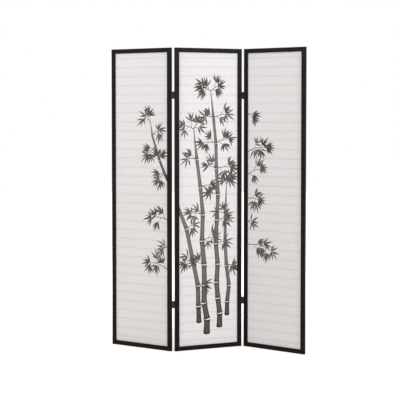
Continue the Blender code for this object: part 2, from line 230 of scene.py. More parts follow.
def enamelled_steel(colours):
    """Stamped steel, sprayed with black enamel and baked.

    The eye gets an even satin black with a faint orange peel.
    """
    material, tree, shader = new_material("enamelled_steel", {"Specular IOR Level": 0.3})
    # The dimples of the orange peel, and the patches where the film runs thicker and thinner.
    dimple_size, patch_size = 1.2 * MM, 8 * MM
    place = add_node(tree, "ShaderNodeTexCoord").outputs["Object"]
    peel = add_node(tree, "ShaderNodeTexNoise", {"Vector": place, "Scale": 1 / dimple_size, "Detail": 1.0})
    film = add_node(tree, "ShaderNodeTexNoise", {"Vector": place, "Scale": 1 / patch_size, "Detail": 2.0})
    tone = add_node(tree, "ShaderNodeMix", {
        "Factor": film, "A": colours.enamel[:], "B": colours.enamel_thin[:]}, data_type="RGBA")
    sheen = add_node(tree, "ShaderNodeMapRange", {"Value": film, "To Min": 0.3, "To Max": 0.45})
    relief = add_node(tree, "ShaderNodeBump", {"Height": peel, "Strength": 0.2, "Distance": 0.04 * MM})
    connect(tree, shader, {"Base Color": tone, "Roughness": sheen, "Normal": relief})
    return material


def blackened_steel(colours):
    """Turned steel, blackened in a hot salt bath.

    The eye gets a dark metal gleam with fine turning marks.
    """
    material, tree, shader = new_material("blackened_steel", {"Metallic": 1.0})
    # Real turning marks are about 0.1 mm apart. They are drawn coarser, so that they show.
    mark_size = 0.5 * MM
    place = add_node(tree, "ShaderNodeTexCoord").outputs["Object"]
    marks = add_node(tree, "ShaderNodeTexNoise", {"Vector": place, "Scale": 1 / mark_size, "Detail": 2.0})
    tone = add_node(tree, "ShaderNodeMix", {
        "Factor": marks, "A": colours.steel[:], "B": colours.enamel_thin[:]}, data_type="RGBA")
    gleam = add_node(tree, "ShaderNodeMapRange", {"Value": marks, "To Min": 0.3, "To Max": 0.5})
    connect(tree, shader, {"Base Color": tone, "Roughness": gleam})
    return material


def laminated_paper(plane, colours):
    """Shoji paper of mulberry fibre, laminated and glued to laths.

    The eye gets a matt cloudy white with long pale fibres, and a faint tan line of painted shade over each
    lath.
    """
    material, tree, shader = new_material(
        f"laminated_paper_{plane.name}", {"Roughness": 0.72, "Specular IOR Level": 0.3})
    # The pulp's clouds, and its fibres, which are too fine to show and so drawn as coarser strands.
    cloud_size, strand_length, strand_gap, strand_lean = 38 * MM, 26 * MM, 6 * MM, math.radians(24)
    place = add_node(tree, "ShaderNodeTexCoord").outputs["Object"]
    cloud = add_node(tree, "ShaderNodeTexNoise", {"Vector": place, "Scale": 1 / cloud_size, "Detail": 3.0})
    value = add_node(tree, "ShaderNodeMapRange", {
        "Value": cloud, "From Min": 0.3, "From Max": 0.7, "To Min": 0.985, "To Max": 1.01})
    strand_place = add_node(tree, "ShaderNodeMapping", {
        "Vector": place, "Rotation": (0, strand_lean, 0), "Scale": (strand_length, strand_gap, strand_gap)},
        vector_type="TEXTURE")
    fibre = add_node(tree, "ShaderNodeTexNoise", {
        "Vector": strand_place, "Scale": 1.0, "Detail": 2.0, "Distortion": 1.6})
    offset = add_node(tree, "ShaderNodeMath", {0: fibre, 1: 0.5}, operation="SUBTRACT")
    line = add_node(tree, "ShaderNodeMath", {0: offset}, operation="ABSOLUTE")
    strand = add_node(tree, "ShaderNodeMapRange", {
        "Value": line, "From Max": 0.02, "To Min": 0.55, "To Max": 0.0})
    sheet = add_node(tree, "ShaderNodeMix", {
        "Factor": strand, "A": colours.paper[:], "B": colours.fibre[:]}, data_type="RGBA")
    # Painted shade of the laths behind the paper.
    shade = painted_lath_shade(tree, place, plane)
    lined = add_node(tree, "ShaderNodeMix", {
        "Factor": shade, "A": sheet, "B": colours.lath_shade_on_paper[:]}, data_type="RGBA")
    clouded = add_node(tree, "ShaderNodeHueSaturation", {"Color": lined, "Value": value})
    relief = add_node(tree, "ShaderNodeBump", {"Height": fibre, "Strength": 0.15, "Distance": 0.1 * MM})
    connect(tree, shader, {"Base Color": clouded, "Normal": relief})
    return material


def painted_lath_shade(tree, place, plane):
    """How much painted shade a lath casts through the paper: soft lines at the laths' pitch that waver a
    little.

    The paper spreads each lath's shade to about twice its width.
    """
    spans = plane.lath_spans
    first, pitch = sum(spans[1]) / 2, (sum(spans[2]) - sum(spans[1])) / 2
    half_width = (spans[1][1] - spans[1][0]) / 2
    # How far and over what length a line wavers, and its blur inside and outside the lath's edge.
    waver_reach, waver_length, blur_inside, blur_outside = 1 * MM, 90 * MM, 2 * MM, 6 * MM
    waver = add_node(tree, "ShaderNodeTexNoise", {"Vector": place, "Scale": 1 / waver_length, "Detail": 1.0})
    height = add_node(tree, "ShaderNodeSeparateXYZ", {"Vector": place}).outputs["Z"]
    drifted = add_node(tree, "ShaderNodeMath", {
        0: waver, 1: 2 * waver_reach, 2: height}, operation="MULTIPLY_ADD")
    from_first = add_node(tree, "ShaderNodeMath", {
        0: drifted, 1: first - pitch + waver_reach}, operation="SUBTRACT")
    from_lath = add_node(tree, "ShaderNodeMath", {0: from_first, 1: pitch / 2}, operation="PINGPONG")
    band = add_node(tree, "ShaderNodeMapRange", {
        "Value": from_lath, "From Min": half_width - blur_inside, "From Max": half_width + blur_outside,
        "To Min": 1.0, "To Max": 0.0}, interpolation_type="SMOOTHSTEP")
    # How strongly the painted lath shade shows, varying along each lath.
    shade_strength = add_node(tree, "ShaderNodeMapRange", {
        "Value": waver, "From Min": 0.3, "From Max": 0.7, "To Min": 0.6})
    return add_node(tree, "ShaderNodeMath", {0: band, 1: shade_strength}, operation="MULTIPLY")


def brushed_ink(colours):
    """Black ink printed from a brush drawing on the paper.

    The eye gets dark edges, pale dry streaks along each stroke, and strokes of many tones.
    """
    material, tree, shader = new_material("brushed_ink", {"Roughness": 0.65, "Specular IOR Level": 0.12})
    # Drawn coarser than a brush's hairs leave them, to show. The width is a share of the stroke's half.
    streak_width, streak_length = 0.32, 26 * MM
    stroke = add_node(tree, "ShaderNodeUVMap", uv_map="stroke")
    tone = add_node(tree, "ShaderNodeAttribute", attribute_name="tone").outputs["Fac"]
    across = add_node(tree, "ShaderNodeSeparateXYZ", {"Vector": stroke}).outputs["X"]
    from_middle = add_node(tree, "ShaderNodeMath", {0: across}, operation="ABSOLUTE")
    inside = add_node(tree, "ShaderNodeMapRange", {
        "Value": from_middle, "From Min": 0.35, "From Max": 1.0, "To Min": 1.0, "To Max": 0.1})
    streak_place = add_node(tree, "ShaderNodeMapping", {
        "Vector": stroke, "Scale": (streak_width, streak_length, 1)}, vector_type="TEXTURE")
    streak = add_node(tree, "ShaderNodeTexNoise", {
        "Vector": streak_place, "Scale": 1.0, "Detail": 3.0, "Roughness": 0.65})
    dry = add_node(tree, "ShaderNodeMapRange", {
        "Value": streak, "From Min": 0.36, "From Max": 0.7, "To Max": 0.5})
    thinned = add_node(tree, "ShaderNodeMath", {0: dry, 1: tone}, operation="SUBTRACT")
    lifted = add_node(tree, "ShaderNodeMath", {0: thinned, 1: 1.0}, operation="ADD", use_clamp=True)
    amount = add_node(tree, "ShaderNodeMath", {0: lifted, 1: inside}, operation="MULTIPLY")
    colour = add_node(tree, "ShaderNodeMix", {
        "Factor": amount, "A": colours.ink[:], "B": colours.ink_dry[:]}, data_type="RGBA")
    connect(tree, shader, {"Base Color": colour})
    return material


def print_shade_paper(colours):
    """Shoji paper seen from the back, with painted shade where the ink on its front stops the light through
    the sheet.

    The eye gets a pale cloudy grey on the back of the sheet: the print's ghost, as painted shade.
    """
    material, tree, shader = new_material("print_shade_paper", {"Roughness": 0.72, "Specular IOR Level": 0.3})
    cloud_size = 15 * MM
    place = add_node(tree, "ShaderNodeTexCoord").outputs["Object"]
    cloud = add_node(tree, "ShaderNodeTexNoise", {"Vector": place, "Scale": 1 / cloud_size, "Detail": 3.0})
    amount = add_node(tree, "ShaderNodeMapRange", {
        "Value": cloud, "From Min": 0.3, "From Max": 0.7, "To Min": 0.5})
    colour = add_node(tree, "ShaderNodeMix", {
        "Factor": amount, "A": colours.paper[:], "B": colours.print_shade_through[:]}, data_type="RGBA")
    connect(tree, shader, {"Base Color": colour})
    return material


def sawn_lime(colours):
    """Lime wood, sawn into thin laths and lightly sanded.

    The eye gets a pale straw colour with fine darker lines along each lath.
    """
    material, tree, shader = new_material("sawn_lime", {"Roughness": 0.6})
    line_length, line_width = 45 * MM, 0.6 * MM
    place = add_node(tree, "ShaderNodeTexCoord").outputs["Object"]
    along = add_node(tree, "ShaderNodeMapping", {
        "Vector": place, "Scale": (line_length, line_width, line_width)}, vector_type="TEXTURE")
    grain = add_node(tree, "ShaderNodeTexNoise", {
        "Vector": along, "Scale": 1.0, "Detail": 3.0, "Distortion": 0.3})
    lines = add_node(tree, "ShaderNodeMapRange", {
        "Value": grain, "From Min": 0.4, "From Max": 0.75, "To Max": 0.8})
    tone = add_node(tree, "ShaderNodeMix", {
        "Factor": lines, "A": colours.lath[:], "B": colours.lath_grain[:]}, data_type="RGBA")
    relief = add_node(tree, "ShaderNodeBump", {"Height": grain, "Strength": 0.3, "Distance": 0.05 * MM})
    connect(tree, shader, {"Base Color": tone, "Normal": relief})
    return material


def add_object(name, data):
    """Adds an object to the scene."""
    item = bpy.data.objects.new(name, data)
    bpy.context.scene.collection.objects.link(item)
    return item


def add_mesh(name, bm, material):
    """Adds an object that is made from a bmesh, with its material."""
    mesh = bpy.data.meshes.new(name)
    bm.to_mesh(mesh)
    bm.free()
    mesh.materials.append(material)
    return add_object(name, mesh)


def make_piece(name, bm, material, plane):
    """A piece from a bmesh in a panel's own axes, riding on that panel's body."""
    bmesh.ops.recalc_face_normals(bm, faces=bm.faces[:])
    piece = add_mesh(name, bm, material)
    piece.matrix_world = plane.matrix
    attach(piece, plane.body)
    return piece


def shade_smooth(piece):
    """Shades a piece smooth up to its sharp edges."""
    piece.data.shade_smooth()
    piece.data.set_sharp_from_angle(angle=SHARP_ANGLE)


def paper_relief(across, up, plane, cockle):
    """How far back the paper stands from flat: slow waves that die out at the sheet's edges.

    The panel's own turn shifts the waves, so that no two sheets are alike.
    """
    margin, wave_across, wave_up, swell_across, swell_up = (size * MM for size in (40, 52, 170, 120, 88))
    wave_share, shift = 0.6, 9 * plane.yaw
    share = min(plane.half_sheet - abs(across), up - plane.sheet_low, plane.sheet_high - up) / margin
    fade = min(max(share, 0), 1)
    wave = math.sin(across / wave_across + up / wave_up + shift)
    swell = math.sin(up / swell_up - across / swell_across)
    return cockle * fade * (wave_share * wave + (1 - wave_share) * swell)


def join_rings(bm, rings):
    """Faces from each closed ring of corners to the next."""
    return [bm.faces.new((a[i - 1], a[i], b[i], b[i - 1]))
            for a, b in zip(rings, rings[1:]) for i in range(len(a))]


def add_shell(bm, front_rows, back_rows):
    """A closed sheet between two like grids of points. Gives its corners, row by row, and its faces."""
    grids, faces, rims = [], [], []
    for rows in (front_rows, back_rows):
        grid = [[bm.verts.new(p) for p in row] for row in rows]
        grids.append(grid)
        far_side, near_side = [row[-1] for row in grid[1:-1]], [row[0] for row in grid[-2:0:-1]]
        rims.append(grid[0] + far_side + grid[-1][::-1] + near_side)
        for a, b in zip(grid, grid[1:]):
            faces += [bm.faces.new((a[c], a[c + 1], b[c + 1], b[c])) for c in range(len(a) - 1)]
    return grids, faces + join_rings(bm, rims)


def smooth_points(points, share):
    """The point at a share of the way along a smooth cubic curve through the points."""
    place = min(max(share, 0), 1) * (len(points) - 1)
    i = min(int(place), len(points) - 2)
    t = place - i
    a, b = points[i], points[i + 1]
    before = points[i - 1] if i else tuple(2 * a[k] - b[k] for k in (0, 1))
    after = points[i + 2] if i + 2 < len(points) else tuple(2 * b[k] - a[k] for k in (0, 1))
    return tuple(
        0.5 * (2 * a[k] + (b[k] - before[k]) * t + (2 * before[k] - 5 * a[k] + 4 * b[k] - after[k]) * t * t
               + (3 * a[k] - before[k] - 3 * b[k] + after[k]) * t ** 3)
        for k in (0, 1))


def stepped(point, angle, distance):
    """The point at a distance from another, in a direction."""
    return point[0] + distance * math.cos(angle), point[1] + distance * math.sin(angle)


def heading(start, end):
    """The direction from one point to another."""
    return math.atan2(end[1] - start[1], end[0] - start[0])


def droop(angle, amount):
    """A turn of at most that many radians towards straight down."""
    return -amount * math.cos(angle)


class Brush:
    """Strokes of the print on one panel, in its own axes: across from the middle and up from the floor.

    A tone is 1 where the brush was full, and less where the ink thins. Turns are in radians.
    """
    leaf_tone, cane_tone = 0.88, 0.45

    # What each leaf may have of its own: a turn, a bend and a tone, shares of the usual length and width,
    # and the millimetres by which its root stands back. A whole tuft may be darker or paler too.
    leaf_turns, leaf_bends, leaf_tones = (-0.13, 0.13), (0.1, 0.45), (-0.12, 0.12)
    leaf_lengths, leaf_widths, root_setbacks = (0.75, 1.1), (0.8, 1.15), (0, 14)
    tuft_tones = (-0.18, 0.08)

    # What each side twig may have: a turn from its spray, a share of a leaf's length, and a droop of its
    # tuft. Then the leaves in a tuft and their spread, for side twigs and for the spray's own end.
    twig_turns, twig_lengths, tuft_droops = (0.6, 1.1), (0.3, 0.7), (0.2, 1.0)
    side_leaves, side_spreads = (4, 5, 6), (1.7, 2.9)
    end_leaves, end_spreads = (5, 6, 7, 8), (2.2, 4.2)

    def __init__(self, plane, sizes, seed):
        self.plane, self.sizes = plane, sizes
        self.chance = random.Random(seed)
        self.strokes = []

    def pick(self, span):
        """A number drawn at random from between two."""
        return self.chance.uniform(*span)

    def at(self, across_share, up_share):
        """A place given in shares of the opening's width and height."""
        plane = self.plane
        return across_share * 2 * plane.half_opening, plane.low + up_share * (plane.high - plane.low)

    def stroke(self, points, halves, tones, columns=2, bow=0.0):
        """Rows of points across a line of given half widths and tones. A bowed stroke's rows sag."""
        rows, far = [], 0.0
        for i, (here, half, tone) in enumerate(zip(points, halves, tones)):
            turn = heading(points[max(i - 1, 0)], points[min(i + 1, len(points) - 1)])
            far += math.dist(points[i - 1], here) if i else 0.0
            row = []
            for c in range(columns):
                across = 1 - 2 * c / (columns - 1)
                side = stepped(here, turn + math.pi / 2, half * across)
                sagged = stepped(side, turn, -2 * half * bow * (1 - across ** 2))
                row.append((*sagged, across, far, tone))
            rows.append(row)
        self.strokes.append(rows)

    def leaf(self, root, angle, length, width, bend, tone):
        """A leaf with a fine stalk, widest two fifths of the way along, whose long tip runs dry."""
        stalk, fullness, root_power, tip_power, dryness = 0.04, 5.6, 1.05, 1.45, 0.35
        steps, points, halves, tones, place = 9, [], [], [], root
        for i in range(steps + 1):
            share = i / steps
            points.append(place)
            halves.append(width / 2 * (stalk + fullness * share ** root_power * (1 - share) ** tip_power))
            tones.append(tone - dryness * share ** 3)
            place = stepped(place, angle + bend * (share + 0.5 / steps), length / steps)
        self.stroke(points, halves, tones)

    def tuft(self, place, axis, leaves, spread):
        """Leaves that spread from the end of a twig and droop. The outer ones are shorter."""
        outer_loss, sizes = 0.25, self.sizes
        tuft_tone = self.leaf_tone + self.pick(self.tuft_tones)
        for i in self.chance.sample(range(leaves), leaves):
            side = (2 * i + 1) / leaves - 1
            turn = axis + spread / 2 * side + self.pick(self.leaf_turns)
            length = sizes.leaf_length * (1 - outer_loss * side * side) * self.pick(self.leaf_lengths)
            root = stepped(place, axis + math.pi, self.pick(self.root_setbacks) * MM * abs(side))
            width = sizes.leaf_width * self.pick(self.leaf_widths)
            bend = droop(turn, self.pick(self.leaf_bends))
            self.leaf(root, turn, length, width, bend, tuft_tone + self.pick(self.leaf_tones))

    def twig(self, points, thick):
        """A fine stroke that thins to half its width along its way."""
        steps = 12
        self.stroke([smooth_points(points, i / steps) for i in range(steps + 1)],
                    [thick / 2 * (1 - 0.5 * i / steps) for i in range(steps + 1)],
                    [self.leaf_tone] * (steps + 1))

    def cane(self, points, low_share, high_share, joints, growth, pointed=True):
        """Straight joints, parted by bowed pale gaps with a dark ring under each.

        Its widths at foot and tip are shares of the thickest cane's, and each joint has the length of the
        last times the growth. It bends a little at each node, and its foot is stout. A pointed cane thins
        out to a twig along its last joint. Gives the nodes and the tip.
        """
        # Shares of the cane's width: the gap at a node, the waist between nodes and the flare at them,
        # how far nodes stand off the line, the spread and round corners of the foot, the bow of the ends
        # and what the last joint loses. Then how much darker it is at the foot and the nodes, and the
        # beat and shift of its bends in radians.
        gap_share, waist, flare_share, sway_share = 0.2, 0.86, 0.2, 0.2
        foot_spread, foot_corners, bow, tip_loss = 0.14, (0.72, 0.97), 0.09, 0.75
        foot_dark, node_dark, steps = 0.5, 0.3, 12
        beat, shift = 2.3, 9 * low_share
        low_width, high_width = (share * self.sizes.cane_width for share in (low_share, high_share))

        def width_at(share):
            """The cane's width at a share of the way up."""
            return low_width + (high_width - low_width) * share

        shares = [growth ** i for i in range(joints)]
        ends = [sum(shares[:i]) / sum(shares) for i in range(joints + 1)]
        nodes = [smooth_points(points, end) for end in ends]
        for i in range(1, joints):
            sway = sway_share * width_at(ends[i]) * math.sin(beat * i + shift)
            nodes[i] = stepped(nodes[i], heading(nodes[i - 1], nodes[i + 1]) + math.pi / 2, sway)
        for i, (low, high) in enumerate(zip(nodes, nodes[1:])):
            turn, length, width = heading(low, high), math.dist(low, high), width_at(ends[i + 1])
            gap = gap_share * (width + high_width) / 2
            tip = pointed and i == joints - 1
            reach = length - (gap / 2 if tip else gap)
            line, halves, tones = [], [], []
            for k in range(steps + 1):
                share = k / steps
                flare = abs(2 * share - 1) ** 5
                local = width_at(ends[i] + (ends[i + 1] - ends[i]) * share)
                line.append(stepped(low, turn, gap / 2 + reach * share))
                halves.append(local / 2 * (waist + flare_share * flare))
                tones.append(self.cane_tone + foot_dark * (1 - ends[i]) ** 3 + node_dark * flare)
            if i == 0:
                halves = [half * (1 + foot_spread * (1 - k / steps) ** 2) for k, half in enumerate(halves)]
                halves[:2] = [corner * half for corner, half in zip(foot_corners, halves)]
            if tip:
                halves = [half * (1 - tip_loss * k / steps) for k, half in enumerate(halves)]
            self.stroke(line, halves, tones, columns=5, bow=bow)
            if i < joints - 1:
                self.ring(high, turn, width)
        return nodes[1:]

    def ring(self, place, turn, width):
        """The dark line under a node's pale gap, whose ends stand out past the cane."""
        # Shares of the cane's width: the line's half reach, how far it lies under the node, how much its
        # ends rise, its half thickness, and what that loses at the ends.
        reach, depth, rise, thick, end_loss = 0.6, 0.28, 0.17, 0.055, 0.035
        line, halves, steps = [], [], 8
        for i in range(steps + 1):
            across = 2 * i / steps - 1
            under = stepped(place, turn, width * (rise * across ** 2 - depth))
            line.append(stepped(under, turn - math.pi / 2, reach * width * across))
            halves.append(width * (thick - end_loss * across ** 4))
        self.stroke(line, halves, [1.0] * len(line))

    def spray(self, start, degrees, length, tufts, sag):
        """A drooping twig whose side twigs and tip end in tufts of leaves."""
        leaf, thick = self.sizes.leaf_length, self.sizes.twig_width
        points, turn, pieces = [start], math.radians(degrees), 4
        for i in range(pieces):
            points.append(stepped(points[-1], turn, length / pieces))
            turn += droop(turn, sag / pieces)
        self.twig(points, thick)
        # Shares of the spray at which its side twigs stand, and the step that gives its direction there.
        # Then a side twig's kink, its first part in leaf lengths, and its thickness next to the spray's.
        first, stretch, ahead = 0.25, 0.6, 0.02
        kink, first_part, thin = 0.2, 0.3, 0.65
        for i in range(tufts):
            share = first + stretch * i / tufts
            here, there = smooth_points(points, share), smooth_points(points, share + ahead)
            side = 1 if i % 2 else -1
            turn = heading(here, there) + side * self.pick(self.twig_turns)
            end = stepped(here, turn, self.pick(self.twig_lengths) * leaf)
            self.twig([here, stepped(here, turn + kink * side, first_part * leaf), end], thin * thick)
            axis = turn + droop(turn, self.pick(self.tuft_droops))
            self.tuft(end, axis, self.chance.choice(self.side_leaves), self.pick(self.side_spreads))
        axis = heading(points[-2], points[-1])
        self.tuft(points[-1], axis, self.chance.choice(self.end_leaves), self.pick(self.end_spreads))


def brush_centre(brush):
    """Four canes, one of which leans out over the left edge, with sprays from their nodes.

    A spray is given by its cane, node, direction in degrees, length in millimetres and side twigs.
    """
    at = brush.at
    leaning = brush.cane([at(-0.16, 0.075), at(-0.19, 0.2), at(-0.32, 0.36), at(-0.56, 0.5)],
                         0.78, 0.52, 5, 1.1, pointed=False)
    stout = brush.cane([at(-0.03, 0.035), at(-0.08, 0.25), at(-0.12, 0.5), at(-0.25, 0.74)],
                       1, 0.4, 9, 1.07)
    tall = brush.cane([at(0.19, 0.055), at(0.14, 0.3), at(0.15, 0.6), at(0.04, 0.87)], 0.9, 0.36, 11, 1.05)
    young = brush.cane([at(0.32, 0.095), at(0.34, 0.22), at(0.28, 0.38), at(0.31, 0.55)],
                       0.74, 0.37, 6, 1.08)
    for cane, node, degrees, length, tufts in (
            (leaning, 1, 25, 50, 1), (leaning, 2, 200, 60, 1), (leaning, 3, 40, 50, 1),
            (stout, 3, 155, 60, 1), (stout, 4, 25, 80, 2), (stout, 5, 160, 80, 2), (stout, 6, 25, 70, 1),
            (stout, 7, 165, 60, 1), (stout, 8, 60, 50, 2), (stout, 8, 150, 70, 2),
            (tall, 4, 20, 60, 1), (tall, 5, 15, 70, 2), (tall, 6, 160, 60, 1), (tall, 7, 15, 100, 2),
            (tall, 7, 150, 60, 1), (tall, 8, 30, 90, 2), (tall, 8, 165, 90, 2), (tall, 9, 25, 90, 2),
            (tall, 9, 160, 60, 1), (tall, 10, 40, 60, 2), (tall, 10, 150, 60, 3),
            (young, 2, 15, 40, 1), (young, 4, 150, 50, 1), (young, 5, 60, 50, 1), (young, 5, 120, 30, 1)):
        brush.spray(cane[node], degrees, length * MM, tufts, sag=0.6)


def brush_left(brush):
    """The leaning cane's upper end, and sprays that reach in from the right edge."""
    at = brush.at
    upper = brush.cane([at(0.56, 0.545), at(0.38, 0.62), at(0.25, 0.69), at(0.18, 0.76)], 0.5, 0.3, 5, 1.0)
    for node, degrees, length, tufts in ((0, 205, 60, 2), (1, 110, 40, 1), (2, 200, 80, 2),
                                         (3, 50, 60, 1), (4, 120, 60, 3)):
        brush.spray(upper[node], degrees, length * MM, tufts, sag=0.8)
    for up, degrees, length, tufts in ((0.43, 160, 130, 3), (0.26, 150, 150, 4), (0.34, 185, 50, 1)):
        brush.spray(at(0.52, up), degrees, length * MM, tufts, sag=0.7)


def brush_right(brush):
    """Sprays that reach in from the left edge."""
    for up, degrees, length, tufts in ((0.79, 10, 50, 1), (0.66, 25, 150, 4), (0.5, 10, 90, 3),
                                       (0.34, 5, 190, 5), (0.42, 20, 40, 1), (0.58, 35, 110, 2)):
        brush.spray(brush.at(-0.52, up), degrees, length * MM, tufts, sag=0.7)


def strokes_touch(first, second):
    """Whether two strokes come near each other, taken as circles along their lines."""
    return any(math.dist(a[:2], b[:2]) < a[2] + b[2] for a in first for b in second)


def stroke_levels(strokes):
    """A level for each stroke, the lowest that no stroke drawn before it has where the two touch."""
    clearance = 4 * MM
    circles, boxes, levels = [], [], []
    for rows in strokes:
        chain = []
        for row in rows:
            a, b = row[0], row[-1]
            chain.append(((a[0] + b[0]) / 2, (a[1] + b[1]) / 2, math.dist(a[:2], b[:2]) / 2 + clearance))
        box = (min(c[0] - c[2] for c in chain), max(c[0] + c[2] for c in chain),
               min(c[1] - c[2] for c in chain), max(c[1] + c[2] for c in chain))
        taken = {level for level, other, there in zip(levels, circles, boxes)
                 if box[0] < there[1] and there[0] < box[1] and box[2] < there[3] and there[2] < box[3]
                 and strokes_touch(chain, other)}
        levels.append(min(set(range(len(taken) + 1)) - taken))
        circles.append(chain)
        boxes.append(box)
    return levels


def add_stroke(bm, rows, level, film, sheet, side):
    """One stroke as a closed film of ink off the sheet's face, with its place across and along as its UV.

    The film is thicker than real ink, so that strokes on different levels stay apart.
    """
    first_gap, thickness = 1.5, 0.8
    uv_layer, tone_layer = bm.loops.layers.uv["stroke"], bm.verts.layers.float["tone"]
    low = (first_gap + level) * film
    outer, inner = ([[(p[0], sheet + side * depth, p[1]) for p in row] for row in rows]
                    for depth in (low + thickness * film, low))
    grids, faces = add_shell(bm, outer, inner)
    where = {}
    for grid in grids:
        for corners, row in zip(grid, rows):
            for corner, (_, _, across, along, tone) in zip(corners, row):
                corner[tone_layer] = tone
                where[corner] = (across, along)
    for face in faces:
        for loop in face.loops:
            loop[uv_layer].uv = where[loop.vert]


def trim_to_opening(bm, plane):
    """Cuts the print off at the frame's inner edges and closes the cuts."""
    half, same_place = plane.half_opening, 1e-7
    for place, outward in (((half, 0, 0), (1, 0, 0)), ((-half, 0, 0), (-1, 0, 0)),
                           ((0, 0, plane.low), (0, 0, -1)), ((0, 0, plane.high), (0, 0, 1))):
        bmesh.ops.bisect_plane(bm, geom=bm.verts[:] + bm.edges[:] + bm.faces[:], dist=same_place,
                               plane_co=place, plane_no=outward, clear_outer=True)
        bmesh.ops.holes_fill(bm, edges=[e for e in bm.edges if e.is_boundary], sides=0)


def finish_node(name, material):
    """Puts a material on every slot of a node of the frame."""
    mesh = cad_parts[name].data
    if not mesh.materials:
        mesh.materials.append(material)
    for i in range(len(mesh.materials)):
        mesh.materials[i] = material


class SHOJI_OT_lacquer_frames(bpy.types.Operator):
    """Gives the stiles and rails their satin black lacquer, with the grain along each bar"""
    bl_idname = "shoji.lacquer_frames"
    bl_label = "Lacquer the frames"

    def execute(self, context):
        colours = context.scene.shoji_colours
        for name in PANELS:
            plane = PanelPlane(name)
            for part, along, bars in (("stile", "z", ("left_stile", "right_stile")),
                                      ("rail", "x", ("bottom_rail", "top_rail"))):
                material = lacquered_pine(plane, part, along, colours)
                for bar in bars:
                    finish_node(f"{name}_{bar}", material)
        return {"FINISHED"}


class SHOJI_OT_enamel_hinges(bpy.types.Operator):
    """Gives the hinges' leaves, links and pins their black finishes"""
    bl_idname = "shoji.enamel_hinges"
    bl_label = "Enamel the hinges"

    def execute(self, context):
        colours = context.scene.shoji_colours
        enamel, steel = enamelled_steel(colours), blackened_steel(colours)
        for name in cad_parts:
            if name.endswith(("_leaf", "_link")):
                finish_node(name, enamel)
            elif name.endswith("_pin"):
                finish_node(name, steel)
        return {"FINISHED"}


class SHOJI_OT_drive_screws(bpy.types.Operator):
    """Drives the leaves' countersunk screws, with a cross recess in each head"""
    bl_idname = "shoji.drive_screws"
    bl_label = "Drive the screws"

    def execute(self, context):
        steel = blackened_steel(context.scene.shoji_colours)
        for side in ("left", "right"):
            for end, panel in (("inner", "centre"), ("outer", side)):
                plane = PanelPlane(panel)
                for level in ("upper", "lower"):
                    for place in ("top", "low"):
                        node = f"{side}_{level}_hinge_{end}_screw_{place}"
                        self.drive(node, plane, steel, context.scene.shoji_sizes)
        return {"FINISHED"}

    @staticmethod
    def drive(node, plane, steel, sizes):
        """One screw in its node's place, turned from the same profile."""
        points = plane.local_points(node)
        centre = sum(points, Vector()) / len(points)
        outward = 1 if centre.x > 0 else -1
        profile = sorted({(rounded(outward * p.x), rounded(math.hypot(p.y - centre.y, p.z - centre.z)))
                          for p in points})
        bm = bmesh.new()
        rings, count = [], 32
        for along, radius in profile:
            if radius > NEAR:
                rings.append([bm.verts.new((along, radius * math.cos(a), radius * math.sin(a)))
                              for a in (math.tau * i / count for i in range(count))])
        tip = bm.verts.new((profile[0][0], 0, 0))
        for i in range(count):
            bm.faces.new((tip, rings[0][i], rings[0][i - 1]))
        join_rings(bm, rings)
        add_cross_recess(bm, rings[-1], profile[-1][0], sizes)
        bmesh.ops.scale(bm, vec=(outward, 1, 1), verts=bm.verts)
        bmesh.ops.translate(bm, vec=(0, centre.y, centre.z), verts=bm.verts)
        screw = make_piece(f"{node}_turned", bm, steel, plane)
        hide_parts(node)


def add_cross_recess(bm, rim, face, sizes):
    """Fills a head's face round a tapered cross-shaped pit. Its arms are a quarter as wide as the cross."""
    floor_share = 0.55
    quarter_turns = ((1, 0), (0, 1), (-1, 0), (0, -1))
    rings = []
    for depth, share in ((0, 1), (sizes.recess_depth, floor_share)):
        arm, half = share * sizes.recess_width / 2, share * sizes.recess_width / 8
        corner = [(arm, -half), (arm, half), (half, half)]
        cross = [(y * c - z * s, y * s + z * c) for c, s in quarter_turns for y, z in corner]
        rings.append([bm.verts.new((face - depth, y, z)) for y, z in cross])
    join_rings(bm, rings)
    mouth, floor = rings
    bm.faces.new(floor)
    edges = [bm.edges.get((ring[i - 1], ring[i])) for ring in (rim, mouth) for i in range(len(ring))]
    bmesh.ops.triangle_fill(bm, edges=edges, use_beauty=True)


class SHOJI_OT_hang_paper(bpy.types.Operator):
    """Hangs the paper sheets in the frames' grooves"""
    bl_idname = "shoji.hang_paper"
    bl_label = "Hang the paper"

    def execute(self, context):
        cockle = context.scene.shoji_sizes.paper_cockle
        steps_across, steps_up = 28, 130
        for name in PANELS:
            plane = PanelPlane(name)
            low, high = plane.sheet_low, plane.sheet_high
            columns = [plane.half_sheet * (2 * i / steps_across - 1) for i in range(steps_across + 1)]
            rows = [low + (high - low) * i / steps_up for i in range(steps_up + 1)]
            grids = [[[(x, level + paper_relief(x, z, plane, cockle), z) for x in columns] for z in rows]
                     for level in (plane.paper_front, plane.paper_back)]
            bm = bmesh.new()
            add_shell(bm, *grids)
            material = laminated_paper(plane, context.scene.shoji_colours)
            paper = make_piece(f"{name}_paper", bm, material, plane)
            shade_smooth(paper)
            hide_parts(f"{name}_lath_paper")
        return {"FINISHED"}


